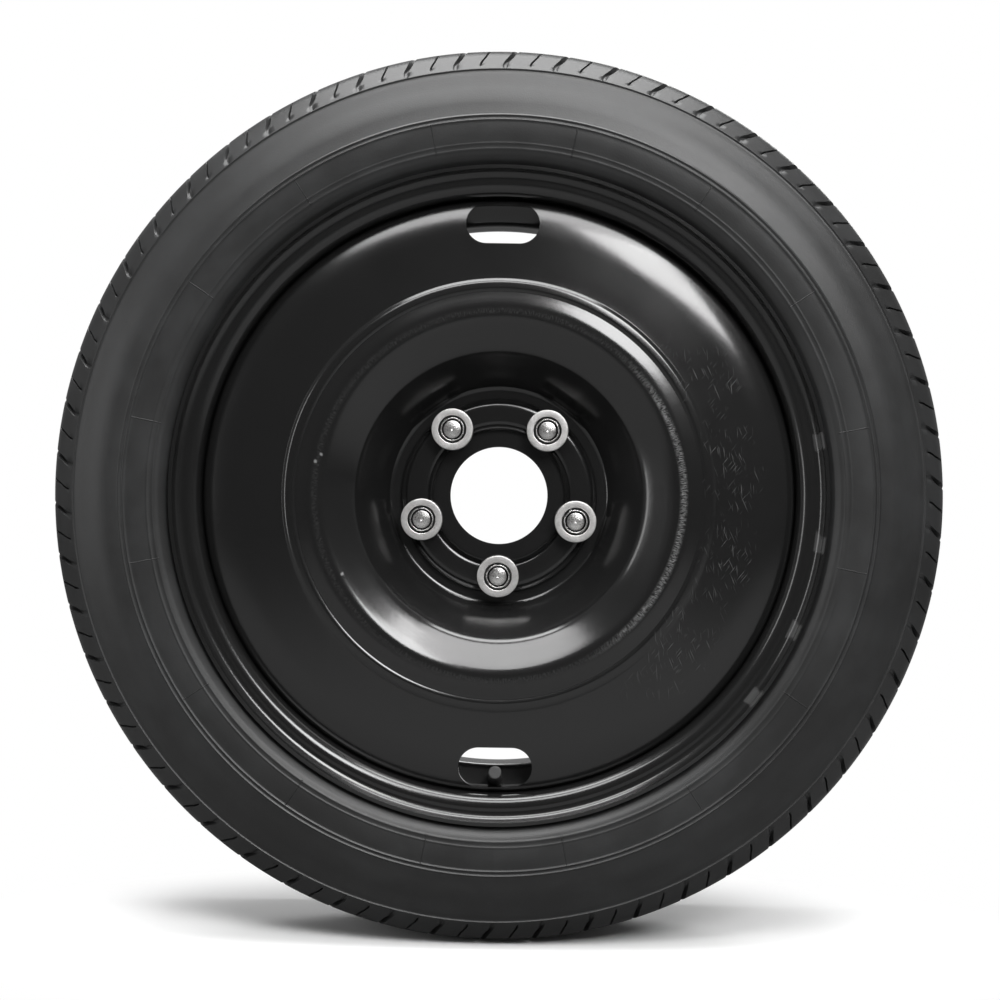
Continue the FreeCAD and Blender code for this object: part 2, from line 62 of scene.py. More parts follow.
TYRE_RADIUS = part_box("tyre")[1][0]
TYRE_HALF_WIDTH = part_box("tyre")[1][1]
FLANGE_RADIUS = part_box("rim")[1][0]
FLANGE_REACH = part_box("rim")[1][1]
SKIRT_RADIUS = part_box("wheel_disc")[1][0]
CREST_REACH = -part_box("wheel_disc")[0][1]
COLLAR_REACH = -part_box("lug_collars")[0][1]
BOLT_REACH = -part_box("lug_bolts")[0][1]
BOLT_END_REACH = -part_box("lug_bolts")[1][1]

# Tyre
PITCHES = 54
GROOVE_WIDTH = 3.2 * MM
GROOVE_DEPTH = 4.5 * MM
GROOVE_START = 6.0 * MM
GROOVE_SLANT = 13.0 * MM
GROOVE_KINK = 2.5 * MM
SIPE_WIDTH = 1.0 * MM
BLOCK_STEP = 1.3 * MM

TREAD_GROOVE_DEPTH = 5.5 * MM
TREAD_GROOVE_WIDTH = 6.0 * MM
TREAD_GROOVE_REACH = 17.0 * MM
TREAD_GROOVE_SOFT = 0.8 * MM
TREAD_GROOVE_EDGE = TREAD_GROOVE_REACH + TREAD_GROOVE_WIDTH / 2 + TREAD_GROOVE_SOFT

# Rim
RIM_GAUGE = 2.6 * MM
RIM_FACE_REACH = 50.8 * MM
SEAT_RADIUS = 218.3 * MM
WELL_RADIUS = 201.5 * MM
WELL_OUTER_REACH = 18.5 * MM
WELL_INNER_REACH = -3.0 * MM
WELL_WALL_LEAN = math.radians(20)
FLANGE_BEND = 9.5 * MM
HEEL_BEND = 6.5 * MM
WELL_EDGE_BEND = 5.1 * MM
WELL_FOOT_BEND = 2.5 * MM

# Wheel disc
DISC_GAUGE = 4.0 * MM
HAND_HOLE_LENGTH = 53.5 * MM
HAND_HOLE_HEIGHT = 29.5 * MM
HAND_HOLE_RADIUS = 196.7 * MM
HAND_HOLE_TURNS = (0.0, math.pi)

# Bolts
BOLT_COUNT = 5
BOLT_CIRCLE = 60.0 * MM
COLLAR_RADIUS = 15.5 * MM
COLLAR_CUP_RADIUS = 10.3 * MM
BOLT_FLATS = 17.0 * MM

# Spring of the valve's core: heights along the valve from its seat in the rim
SPRING_COILS = 5
SPRING_RADIUS = 1.05 * MM
SPRING_WIRE = 0.14 * MM
SPRING_FOOT = 12.63 * MM
SPRING_TOP = 18.05 * MM


def unit(vector):
    return vector / np.linalg.norm(vector)


def bent_line(corners, arc_step=math.radians(5), side_step=5 * MM):
    """Line through corners (radius, reach, bend): each bend is an arc tangent to the two sides that
    meet there, sampled by angle, and each straight side is sampled by length."""
    points = np.array([corner[:2] for corner in corners])
    pieces = [points[:1]]
    for index in range(1, len(corners)):
        here, bend = points[index], corners[index][2]
        if bend and index < len(corners) - 1:
            back, ahead = unit(points[index - 1] - here), unit(points[index + 1] - here)
            half = 0.5 * math.acos(np.clip(back @ ahead, -1, 1))
            start = here + back * bend / math.tan(half)
            centre = here + unit(back + ahead) * bend / math.sin(half)
            first = math.atan2(*(start - centre)[::-1])
            sweep = math.pi - 2 * half
            turn = np.sign(np.cross(here - points[index - 1], points[index + 1] - here))
            angles = first + turn * np.linspace(0, sweep, max(2, math.ceil(sweep / arc_step) + 1))
            arc = centre + bend * np.stack([np.cos(angles), np.sin(angles)], axis=1)
        else:
            start, arc = here, here[None]
        last = pieces[-1][-1]
        length = np.linalg.norm(start - last)
        steps = np.linspace(0, 1, max(2, math.ceil(length / side_step) + 1))[1:-1, None]
        pieces.append(last + (start - last) * steps)
        pieces.append(arc)
    return np.concatenate(pieces)


def lengths_along(line):
    """Length from a line's start to each of its points."""
    return np.concatenate([[0], np.cumsum(np.linalg.norm(np.diff(line, axis=0), axis=1))])


def resample(line, places):
    """Points of a line at the given lengths along it."""
    along = lengths_along(line)
    return np.stack([np.interp(places, along, line[:, axis]) for axis in (0, 1)], axis=1)


def normals_of(line):
    """Unit normals to the left of a line's direction."""
    slope = np.gradient(line, axis=0)
    slope /= np.linalg.norm(slope, axis=1, keepdims=True)
    return np.stack([-slope[:, 1], slope[:, 0]], axis=1)


def wheel_point(radius, reach, angle):
    """Wheel coordinates to x, y, z."""
    radius, reach, angle = np.broadcast_arrays(radius, reach, angle)
    return np.stack([radius * np.sin(angle), -reach, radius * np.cos(angle)], axis=-1)


def grid_faces(rows, columns, wrap_rows=False, wrap_columns=False):
    """Corner numbers of the quads of a grid whose point (i, j) has the number i * columns + j."""
    i = np.arange(rows if wrap_rows else rows - 1)[:, None]
    j = np.arange(columns if wrap_columns else columns - 1)[None, :]
    below, right = (i + 1) % rows, (j + 1) % columns
    corners = [i * columns + j, i * columns + right, below * columns + right, below * columns + j]
    return np.stack([np.broadcast_to(c, (i.size, j.size)) for c in corners], axis=-1).reshape(-1, 4)


class Shell:
    """Grids of points gathered into one mesh."""

    def __init__(self):
        self.points, self.faces, self.count = [], [], 0

    def add(self, grid, wrap_rows=False, wrap_columns=False, flip=False):
        rows, columns = grid.shape[:2]
        faces = grid_faces(rows, columns, wrap_rows, wrap_columns) + self.count
        self.points.append(grid.reshape(-1, 3))
        self.faces.append(faces[:, ::-1] if flip else faces)
        self.count += rows * columns

    def make(self, name, material, body="wheel", merge=2e-6, sharp=35):
        points, faces = np.concatenate(self.points), np.concatenate(self.faces)
        mesh = bpy.data.meshes.new(name)
        mesh.vertices.add(len(points))
        mesh.vertices.foreach_set("co", points.astype(np.float32).ravel())
        mesh.loops.add(faces.size)
        mesh.loops.foreach_set("vertex_index", faces.astype(np.int32).ravel())
        mesh.polygons.add(len(faces))
        mesh.polygons.foreach_set("loop_start", np.arange(0, faces.size, 4, dtype=np.int32))
        mesh.update(calc_edges=True)
        mesh.validate()
        piece = bpy.data.objects.new(name, mesh)
        bpy.context.scene.collection.objects.link(piece)
        close_seams(mesh, merge)
        mesh.polygons.foreach_set("use_smooth", np.ones(len(mesh.polygons), dtype=bool))
        mesh.set_sharp_from_angle(angle=math.radians(sharp))
        mesh.materials.append(material)
        if body:
            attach(piece, body)
        return piece


def close_seams(mesh, distance):
    """Joins points that lie on each other, where grids meet."""
    work = bmesh.new()
    work.from_mesh(mesh)
    bmesh.ops.remove_doubles(work, verts=work.verts, dist=distance)
    work.to_mesh(mesh)
    work.free()


def ring_angles(count):
    return np.linspace(0, 2 * math.pi, count, endpoint=False)


def turned(shell, line, angles, closed=False, flip=False):
    """A (radius, reach) line carried round the wheel's axis."""
    grid = wheel_point(line[:, None, 0], line[:, None, 1], angles[None, :])
    shell.add(grid, wrap_rows=closed, wrap_columns=True, flip=flip)


def smooth(low, high, value):
    """0 below low, 1 above high, an S-curve between."""
    share = np.clip((value - low) / (high - low), 0, 1)
    return share * share * (3 - 2 * share)


# Materials. Zones are pairs of radii in metres, and turns are degrees clockwise from the top.

# Thin radial mould lines on the tyre's side
MOULD_LINES = 16
MOULD_LINE_ZONE = (0.2455, 0.2655)
# Wear of the paint: the worn side, the scuffed ring of the crest, and the scratched ring of the dome
WORN_TURNS = (50, 140)
SCUFF_ZONE = (0.1308, 0.1350)
SCRATCH_ZONE = (0.150, 0.192)
# Fine scratches: lean in degrees, then how often they repeat across and along, per metre
SCRATCHES = ((24, 1500, 60), (-38, 1700, 85), (5, 1600, 70))
# Dried residue on the flange
RESIDUE_ZONE = (0.2285, 0.2345)
RESIDUE_TURNS = (80, 98, 114, 128)
# Chips: turn and radius
CHIPS = ((-76, 0.131), (-79, 0.134), (-116, 0.126))


class Recipe:
    """Short names for the nodes of one material."""

    def __init__(self, name):
        self.material = bpy.data.materials.new(name)
        self.material.use_nodes = True
        self.nodes = self.material.node_tree.nodes
        self.links = self.material.node_tree.links
        self.shader = self.nodes["Principled BSDF"]
        self.place = self.nodes.new("ShaderNodeTexCoord").outputs["Object"]

    def set(self, **values):
        """Values that are the same all over, on the shader's own sockets."""
        for name, value in values.items():
            self.shader.inputs[name.replace("_", " ")].default_value = value
        return self

    def join(self, source, socket):
        """A node's output or a plain value into a socket."""
        if hasattr(source, "node"):
            self.links.new(source, socket)
        else:
            socket.default_value = source

    def math(self, kind, *values):
        node = self.nodes.new("ShaderNodeMath")
        node.operation = kind
        for value, socket in zip(values, node.inputs):
            self.join(value, socket)
        return node.outputs[0]

    def noise(self, scale, detail=4, rough=0.55, place=None):
        node = self.nodes.new("ShaderNodeTexNoise")
        self.join(place if place is not None else self.place, node.inputs["Vector"])
        node.inputs["Scale"].default_value = scale
        node.inputs["Detail"].default_value = detail
        node.inputs["Roughness"].default_value = rough
        return node.outputs["Fac"]

    def band(self, low, high, value):
        """Smooth step of a value between two limits."""
        node = self.nodes.new("ShaderNodeMapRange")
        node.interpolation_type = "SMOOTHSTEP"
        self.join(value, node.inputs["Value"])
        node.inputs["From Min"].default_value = low
        node.inputs["From Max"].default_value = high
        return node.outputs["Result"]

    def between(self, low, high, soft, value):
        """1 between two limits, 0 outside them, with soft edges."""
        rise = self.band(low - soft, low + soft, value)
        fall = self.band(high + soft, high - soft, value)
        return self.math("MULTIPLY", rise, fall)

    def blend(self, share, first, second):
        """Colour between two colours, by a share from 0 to 1."""
        node = self.nodes.new("ShaderNodeMix")
        node.data_type = "RGBA"
        self.join(share, node.inputs["Factor"])
        self.join(first, node.inputs["A"])
        self.join(second, node.inputs["B"])
        return node.outputs["Result"]

    def parts(self):
        """x, y and z of the place."""
        node = self.nodes.new("ShaderNodeSeparateXYZ")
        self.links.new(self.place, node.inputs[0])
        return node.outputs

    def radius(self):
        """Distance from the wheel's axis."""
        x, _, z = self.parts()
        return self.math("SQRT", self.math("ADD", self.math("MULTIPLY", x, x), self.math("MULTIPLY", z, z)))

    def angle(self):
        """Angle round the wheel, clockwise from the top, from -180 to 180 degrees in radians."""
        x, _, z = self.parts()
        return self.math("ARCTAN2", x, z)

    def flat_place(self, first, second):
        """Two values joined into one coordinate."""
        node = self.nodes.new("ShaderNodeCombineXYZ")
        self.links.new(first, node.inputs[0])
        self.links.new(second, node.inputs[1])
        return node.outputs[0]

    def round_place(self, radial, angular):
        """Coordinates that follow the wheel: radius and angle, each scaled, for streaks along a ring."""
        return self.flat_place(self.math("MULTIPLY", self.radius(), radial),
                               self.math("MULTIPLY", self.angle(), angular))

    def slant_place(self, lean, across, along):
        """Coordinates turned in the wheel's face by the lean, each scaled, for straight scratches."""
        x, _, z = self.parts()
        cos, sin = math.cos(lean), math.sin(lean)
        return self.flat_place(
            self.math("MULTIPLY_ADD", x, across * cos, self.math("MULTIPLY", z, across * sin)),
            self.math("MULTIPLY_ADD", x, -along * sin, self.math("MULTIPLY", z, along * cos)))

    def bump(self, height, distance, strength=1.0, under=None):
        """Fine relief from a height, on top of another relief if there is one."""
        node = self.nodes.new("ShaderNodeBump")
        node.inputs["Strength"].default_value = strength
        node.inputs["Distance"].default_value = distance
        self.links.new(height, node.inputs["Height"])
        if under is not None:
            self.links.new(under, node.inputs["Normal"])
        return node.outputs["Normal"]

    def finish(self, colour=None, rough=None, normal=None):
        if colour is not None:
            self.join(colour, self.shader.inputs["Base Color"])
        if rough is not None:
            self.join(rough, self.shader.inputs["Roughness"])
        if normal is not None:
            self.join(normal, self.shader.inputs["Normal"])
        return self.material


def grey(level, warm=0.0):
    """Grey colour, a little warmer or colder."""
    return (level * (1 + warm), level, level * (1 - warm), 1)


def tyre_rubber():
    """Black rubber with a faint dusty bloom, a fine skin and thin radial mould lines on the side."""
    recipe = Recipe("tyre_rubber").set(Specular_IOR_Level=0.42)
    dust = recipe.noise(9, 6, 0.6)
    streak = recipe.noise(1, 5, 0.6, recipe.round_place(60, 8))
    share = recipe.math("ADD", recipe.math("MULTIPLY", dust, 0.6), recipe.math("MULTIPLY", streak, 0.4))
    colour = recipe.blend(recipe.band(0.35, 0.7, share), grey(0.012), grey(0.022, -0.02))
    rough = recipe.math("MULTIPLY_ADD", share, 0.20, 0.32)
    skin = recipe.bump(recipe.noise(900, 3), 0.00012, 0.6)
    radius, angle = recipe.radius(), recipe.angle()
    turns = recipe.math("MULTIPLY_ADD", angle, MOULD_LINES / (2 * math.pi), MOULD_LINES / 2)
    phase = recipe.math("FRACT", turns)
    away = recipe.math("MULTIPLY", recipe.math("ABSOLUTE", recipe.math("SUBTRACT", phase, 0.5)), radius)
    line = recipe.band(0.0011, 0.0004, away)
    zone = recipe.between(*MOULD_LINE_ZONE, 0.001, radius)
    normal = recipe.bump(recipe.math("MULTIPLY", line, zone), 0.0006, 1.0, skin)
    return recipe.finish(colour, rough, normal)


def wheel_paint():
    """Black wheel paint: gloss over slight orange peel, scuffed along the crest and scratched on the dome,
    both mostly on the right, with residue on the flange and a few chips."""
    recipe = Recipe("wheel_paint").set(Specular_IOR_Level=0.5, Coat_Weight=0.25, Coat_Roughness=0.12)
    radius, angle = recipe.radius(), recipe.angle()
    peel = recipe.bump(recipe.noise(260, 2), 0.00010, 0.25)
    cloud = recipe.noise(14, 5, 0.6)
    right_side = recipe.between(*np.radians(WORN_TURNS).tolist(), math.radians(14), angle)
    crest = recipe.between(*SCUFF_ZONE, 0.0016, radius)
    bristle = recipe.noise(1, 4, 0.7, recipe.round_place(300, 190))
    scuffed = recipe.math("MULTIPLY", crest, recipe.math("MULTIPLY_ADD", right_side, 0.85, 0.10))
    scuffed = recipe.math("MULTIPLY", scuffed, recipe.band(0.42, 0.62, bristle))
    dome = recipe.between(*SCRATCH_ZONE, 0.008, radius)
    rubbed = recipe.math("MULTIPLY", recipe.math("MULTIPLY", dome, right_side),
                         recipe.band(0.40, 0.60, recipe.noise(40, 3)))
    worn = scuffed
    for lean, across, along in SCRATCHES:
        hair = recipe.noise(1, 0, 0.5, recipe.slant_place(math.radians(lean), across, along))
        hair = recipe.math("MULTIPLY", recipe.band(0.73, 0.82, hair), rubbed)
        worn = recipe.math("MAXIMUM", worn, recipe.math("MULTIPLY", hair, 0.45))
    flange = recipe.between(*RESIDUE_ZONE, 0.0006, radius)
    edge = recipe.math("MULTIPLY_ADD", recipe.noise(90, 3), 0.05, angle)
    for turn in RESIDUE_TURNS:
        patch = recipe.between(math.radians(turn - 0.6), math.radians(turn + 2.6), math.radians(0.35), edge)
        film = recipe.math("MULTIPLY", recipe.math("MULTIPLY", flange, patch), 0.22)
        worn = recipe.math("MAXIMUM", worn, film)
    for turn, place in CHIPS:
        spot = recipe.between(math.radians(turn - 0.5), math.radians(turn + 0.5), math.radians(0.3), edge)
        spot = recipe.math("MULTIPLY", spot, recipe.between(place - 0.001, place + 0.001, 0.0006, radius))
        worn = recipe.math("MAXIMUM", worn, spot)
    colour = recipe.blend(worn, grey(0.008), grey(0.16))
    rough = recipe.math("MULTIPLY_ADD", cloud, 0.16, 0.10)
    rough = recipe.math("MAXIMUM", rough, recipe.math("MULTIPLY", worn, 0.5))
    return recipe.finish(colour, rough, peel)


def plating(name, bright, rough, painted_shade_top=-1.0):
    """Zinc plating: a pale metal with a fine grain, with painted shade just below the given reach: a dark
    colour on the sunken walls of the cup and the head, standing in for their shade.
    """
    recipe = Recipe(name).set(Metallic=1.0)
    grain = recipe.noise(1100, 3, 0.7)
    stain = recipe.noise(120, 4, 0.6)
    share = recipe.math("ADD", recipe.math("MULTIPLY", grain, 0.6), recipe.math("MULTIPLY", stain, 0.4))
    colour = recipe.blend(recipe.band(0.3, 0.75, share), grey(bright * 0.72, 0.02), grey(bright, 0.01))
    # Painted shade: a dark colour in a band just below the reach, on the recesses that lie in shade.
    depth = recipe.math("ADD", recipe.parts()[1], painted_shade_top)
    colour = recipe.blend(recipe.between(0.0008, 0.008, 0.0006, depth), colour, grey(0.03))
    roughness = recipe.math("MULTIPLY_ADD", grain, 0.25, rough)
    return recipe.finish(colour, roughness, recipe.bump(grain, 0.00012, 0.7))


def moulded(name, level, rough, grain):
    """Moulded rubber or plastic with a fine grain."""
    recipe = Recipe(name)
    speck = recipe.noise(grain, 4, 0.6)
    colour = recipe.blend(speck, grey(level * 0.8), grey(level * 1.25))
    roughness = recipe.math("MULTIPLY_ADD", speck, 0.2, rough)
    return recipe.finish(colour, roughness, recipe.bump(speck, 0.00008, 0.5))


def brass(name):
    """Turned brass with a fine grain."""
    recipe = Recipe(name).set(Metallic=1.0)
    turning = recipe.noise(2200, 3, 0.6)
    colour = recipe.blend(turning, (0.55, 0.41, 0.19, 1), (0.72, 0.57, 0.30, 1))
    roughness = recipe.math("MULTIPLY_ADD", turning, 0.2, 0.2)
    return recipe.finish(colour, roughness, recipe.bump(turning, 0.00004, 0.4))


RUBBER = tyre_rubber()
PAINT = wheel_paint()
COLLAR_ZINC = plating("collar_zinc", 0.74, 0.32, COLLAR_REACH)
BOLT_ZINC = plating("bolt_zinc", 0.95, 0.16, BOLT_REACH)
VALVE_RUBBER = moulded("valve_rubber", 0.016, 0.45, 700)
CAP_PLASTIC = moulded("cap_plastic", 0.02, 0.35, 900)
VALVE_BRASS = brass("valve_brass")
SPRING_STEEL = plating("spring_steel", 0.6, 0.25)


# Tyre


def pitch_angles():
    """Angles of the tread's columns: close together at each groove and sipe, wide between them."""
    half_pitch = math.pi * TYRE_RADIUS / PITCHES
    groove = GROOVE_WIDTH / 2
    sipe = SIPE_WIDTH / 2
    places = np.array([-groove - 0.5 * MM, -groove, -groove + 0.7 * MM, 0, groove - 0.7 * MM, groove,
                       groove + 0.5 * MM, 6 * MM, 11 * MM, 15 * MM,
                       half_pitch - sipe - 0.4 * MM, half_pitch - sipe, half_pitch, half_pitch + sipe,
                       half_pitch + sipe + 0.4 * MM, 2 * half_pitch - 14 * MM, 2 * half_pitch - 9 * MM,
                       2 * half_pitch - 5 * MM])
    turns = np.arange(PITCHES)[:, None] * (2 * math.pi / PITCHES)
    return (turns + places / TYRE_RADIUS).ravel()


COLUMNS = pitch_angles()

# Raised rings on the sidewall: radius, width and height
SIDE_RIBS = ((246.2 * MM, 1.0 * MM, 0.5 * MM), (250.0 * MM, 0.6 * MM, 0.3 * MM),
             (266.2 * MM, 0.7 * MM, 0.75 * MM), (269.4 * MM, 0.7 * MM, 0.75 * MM))
SIDE_REACH = TYRE_HALF_WIDTH - 0.9 * MM
# One side's outline from the bead to the outer tread groove, and the lining inside it: radius, reach, bend
TYRE_SIDE = [
    (218.4 * MM, 33.8 * MM, 0),
    (218.4 * MM, 50.7 * MM, 6.9 * MM),
    (230.1 * MM, 50.7 * MM, 7 * MM),
    (243.0 * MM, 62.5 * MM, 8 * MM),
    (256.0 * MM, SIDE_REACH, 50 * MM),
    (278.0 * MM, SIDE_REACH, 60 * MM),
    (302.5 * MM, 60.0 * MM, 20 * MM),
    (320.4 * MM, 48.0 * MM, 14 * MM),
    (TYRE_RADIUS, 26.0 * MM, 55 * MM),
    (TYRE_RADIUS, TREAD_GROOVE_EDGE, 0),
]
SHOULDER_FOOT_RADIUS = 297.0 * MM
TYRE_LINING = [
    (218.4 * MM, 33.8 * MM, 0),
    (232.4 * MM, 33.8 * MM, 8 * MM),
    (249.0 * MM, 53.5 * MM, 14 * MM),
    (267.0 * MM, 60.5 * MM, 30 * MM),
    (298.5 * MM, 49.0 * MM, 20 * MM),
    (310.9 * MM, 26.0 * MM, 20 * MM),
]


def split_side():
    """The side line cut in two where the shoulder blocks begin."""
    line = bent_line(TYRE_SIDE, math.radians(9), 6 * MM)
    line = with_rows_at_ribs(line)
    cut = np.argmax(line[:, 0] > SHOULDER_FOOT_RADIUS)
    return line[:cut + 1], line[cut:]


def with_rows_at_ribs(line):
    """Adds close rows on the sidewall where its raised rings stand."""
    along = lengths_along(line)
    rising = np.maximum.accumulate(line[:, 0])
    middles = np.interp([radius for radius, width, height in SIDE_RIBS], rising, along)
    close = (middles[:, None] + np.linspace(-1.4, 1.4, 7) * MM).ravel()
    return resample(line, np.unique(np.concatenate([along, close])))


def side_ribs(line):
    """Sidewall with its raised rings, each a bell curve over the radius. Below the shoulder blocks the
    face sinks by one step."""
    lift = np.zeros(len(line))
    for radius, width, height in SIDE_RIBS:
        lift += height * np.exp(-((line[:, 0] - radius) / width) ** 2)
    step = BLOCK_STEP * smooth(280 * MM, SHOULDER_FOOT_RADIUS, line[:, 0])
    return line + normals_of(line) * (lift - step)[:, None]


def shoulder_grid(line, angles, start_turn):
    """Shoulder blocks: along the line from the sidewall over to the tread, and round the wheel. Each
    pitch has one groove with a rounded foot, which leans as it climbs, and one narrow sipe. The face
    below the blocks lies one step deeper than the blocks."""
    total = lengths_along(line)[-1]
    foot = GROOVE_START
    places = np.concatenate([
        np.linspace(0, foot - 1.2 * MM, 4),
        foot + np.array([-0.7, -0.35, 0.0, 0.35, 0.8, 1.5, 2.4]) * MM,
        np.linspace(foot + 4 * MM, total, 20),
    ])
    spine = resample(line, places)
    normal = normals_of(spine)
    climb = places[:, None]
    kink = GROOVE_KINK * smooth(foot + 4 * MM, foot + 14 * MM, climb)
    lean = GROOVE_SLANT * smooth(foot, total, climb) + kink
    half_pitch = math.pi * TYRE_RADIUS / PITCHES
    local = (angles * TYRE_RADIUS + half_pitch) % (2 * half_pitch) - half_pitch
    across = np.abs(local)[None, :]
    corner = 1.4 * MM
    beside, below = across - GROOVE_WIDTH / 2 + corner, foot + corner - climb
    end = np.hypot(np.maximum(beside, 0), np.maximum(below, 0)) - corner
    deepening = 0.22 + 0.78 * smooth(foot + 2 * MM, foot + 20 * MM, climb)
    groove = GROOVE_DEPTH * deepening * smooth(0.3 * MM, -0.35 * MM, end)
    groove = groove * smooth(foot - 1 * MM, foot + 1 * MM, climb)
    from_middle = np.abs(half_pitch - across)
    sipe_reach = smooth(foot + 3 * MM, foot + 5 * MM, climb) * smooth(foot + 19 * MM, foot + 17 * MM, climb)
    sipe = smooth(SIPE_WIDTH / 2 + 0.2 * MM, SIPE_WIDTH / 2 - 0.2 * MM, from_middle) * sipe_reach * 2.5 * MM
    step = BLOCK_STEP * smooth(foot - 0.3 * MM, foot - 0.9 * MM, climb)
    depth = np.maximum(np.maximum(groove, sipe), step + 0 * across)
    radius = spine[:, None, 0] - normal[:, None, 0] * depth
    reach = spine[:, None, 1] - normal[:, None, 1] * depth
    return radius, reach, angles[None, :] + lean / TYRE_RADIUS + start_turn


def make_tyre():
    """Tyre in three pieces that meet column by column: outer side, inner side and crown."""
    side, shoulder = split_side()
    ribbed = side_ribs(side)
    floor = TYRE_RADIUS - TREAD_GROOVE_DEPTH
    wall = TREAD_GROOVE_EDGE - TREAD_GROOVE_SOFT
    edges = []
    for name, face, flip, turn in (("tyre_outer_side", 1, False, 0.0),
                                   ("tyre_inner_side", -1, True, math.pi / PITCHES)):
        radius, reach, angle = shoulder_grid(shoulder, COLUMNS, turn)
        ribbed[-1] = radius[0, 0], reach[0, 0]
        top = angle[-1:]
        edges.append(top[0])
        shell = Shell()
        shell.add(wheel_point(ribbed[:, None, 0], face * ribbed[:, None, 1], angle[:1]),
                  wrap_columns=True, flip=flip)
        shell.add(wheel_point(radius, face * reach, angle), wrap_columns=True, flip=flip)
        shell.add(np.concatenate([wheel_point(radius[-1:], face * reach[-1:], top),
                                  wheel_point(floor, face * wall, top)]), wrap_columns=True, flip=flip)
        piece = shell.make(name, RUBBER, sharp=50)
        if face == 1:
            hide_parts("tyre")
    make_crown(floor, wall, edges)


def make_crown(floor, wall, edges):
    """Tread between the outer grooves, with the middle groove, and the lining inside the tyre. The
    columns lean across the crown, so that they meet those of both sides."""
    groove = TREAD_GROOVE_WIDTH / 2
    rib_edge = TREAD_GROOVE_REACH - groove
    soft = TREAD_GROOVE_SOFT
    half = [(floor, groove, 0), (TYRE_RADIUS, groove + soft, soft), (TYRE_RADIUS, rib_edge - soft, soft),
            (floor, rib_edge, 0), (floor, wall, 0)]
    corners = half[::-1] + half
    tread = bent_line([(radius, reach * sign, bend) for (radius, reach, bend), sign
                       in zip(corners, [1] * len(half) + [-1] * len(half))], math.radians(30), 4 * MM)
    share = ((wall - tread[:, 1]) / (2 * wall))[:, None]
    shell = Shell()
    shell.add(wheel_point(tread[:, None, 0], tread[:, None, 1], edges[0] * (1 - share) + edges[1] * share),
              wrap_columns=True)
    mirrored = [(radius, -reach, bend) for radius, reach, bend in TYRE_LINING[::-1]]
    lining = bent_line(TYRE_LINING + mirrored, math.radians(16), 14 * MM)
    turned(shell, lining, COLUMNS[::3], flip=True)
    piece = shell.make("tyre_crown", RUBBER, sharp=50)


def sheet_line(face, gauge):
    """Closed line round a bent sheet: one face, then the other face set off by the gauge."""
    line = bent_line(face, math.radians(9), 6 * MM)
    other = line + normals_of(line) * gauge
    return np.concatenate([line, other[::-1]])


def make_rim():
    """Rolled rim: curled flanges, bead seats and drop centre, one sheet carried round the axis."""
    well_wall = (SEAT_RADIUS - WELL_RADIUS) * math.tan(WELL_WALL_LEAN)
    tyre_side = [
        (FLANGE_RADIUS, FLANGE_REACH, 0),
        (FLANGE_RADIUS, RIM_FACE_REACH, FLANGE_BEND),
        (SEAT_RADIUS, RIM_FACE_REACH, HEEL_BEND),
        (SEAT_RADIUS, WELL_OUTER_REACH + well_wall, WELL_EDGE_BEND),
        (WELL_RADIUS, WELL_OUTER_REACH, WELL_FOOT_BEND),
        (WELL_RADIUS, WELL_INNER_REACH, WELL_FOOT_BEND),
        (SEAT_RADIUS, WELL_INNER_REACH - well_wall, WELL_EDGE_BEND),
        (SEAT_RADIUS, -RIM_FACE_REACH, HEEL_BEND),
        (FLANGE_RADIUS, -RIM_FACE_REACH, FLANGE_BEND),
        (FLANGE_RADIUS, -FLANGE_REACH, 0),
    ]
    shell = Shell()
    turned(shell, sheet_line(tyre_side, -RIM_GAUGE), ring_angles(360), closed=True)
    piece = shell.make("rim_band", PAINT, sharp=50)
    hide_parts("rim")


# Front face of the disc from the bore to the skirt: radius, reach, bend
DISC_FACE = [
    (36.3 * MM, 7.0 * MM, 0),
    (52.25 * MM, 7.0 * MM, 2 * MM),
    (53.75 * MM, 8.5 * MM, 6 * MM),
    (68.25 * MM, 8.5 * MM, 6 * MM),
    (69.75 * MM, 7.0 * MM, 2 * MM),
    (80.5 * MM, 7.0 * MM, 5 * MM),
    (106.0 * MM, 39.0 * MM, 16 * MM),
    (128.0 * MM, CREST_REACH, 14 * MM),
    (138.0 * MM, CREST_REACH, 14 * MM),
    (147.0 * MM, 49.3 * MM, 1 * MM),
    (149.0 * MM, 50.3 * MM, 5 * MM),
    (154.0 * MM, 49.7 * MM, 5 * MM),
    (156.5 * MM, 47.9 * MM, 1 * MM),
    (198.0 * MM, 45.3 * MM, 60 * MM),
    (SKIRT_RADIUS, 39.6 * MM, 6 * MM),
    (SKIRT_RADIUS, 31.0 * MM, 0),
]
# The part of the dome that holds the hand holes begins here. A hole's sector is so many columns wide to
# each side.
HOLE_RING_START = 160.0 * MM
DISC_COLUMNS = 400
SECTOR_COLUMNS = 18


def make_disc():
    """Pressed disc, front and back face. Inside the dome and at the skirt each face is a line carried
    round the axis. On the dome the same line is carried between the hand holes, and round each hole
    rings of points run from the hole's outline out to the sector's border."""
    front = bent_line(DISC_FACE, math.radians(8), 5 * MM)
    back = front - normals_of(front) * DISC_GAUGE
    cut = np.argmax(front[:, 0] > HOLE_RING_START)
    skirt = np.argmax(front[:, 0] > SKIRT_RADIUS - 0.6 * MM)
    angles = ring_angles(DISC_COLUMNS)
    shell = Shell()
    turned(shell, np.concatenate([back[:cut + 1][::-1], front[:cut + 1]]), angles)
    turned(shell, np.concatenate([front[skirt:], back[skirt:][::-1]]), angles)
    for turn in HAND_HOLE_TURNS:
        outlines = []
        for face, flip in ((front, False), (back, True)):
            dome = face[cut:skirt + 1]
            between = angles[SECTOR_COLUMNS:DISC_COLUMNS // 2 - SECTOR_COLUMNS + 1] + turn
            shell.add(wheel_point(dome[:, None, 0], dome[:, None, 1], between[None, :]), flip=flip)
            outlines.append(hand_hole_patch(shell, dome, turn, flip))
        shell.add(hole_wall(*outlines), wrap_columns=True, flip=True)
    piece = shell.make("disc_pressing", PAINT, sharp=40)
    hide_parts("wheel_disc")


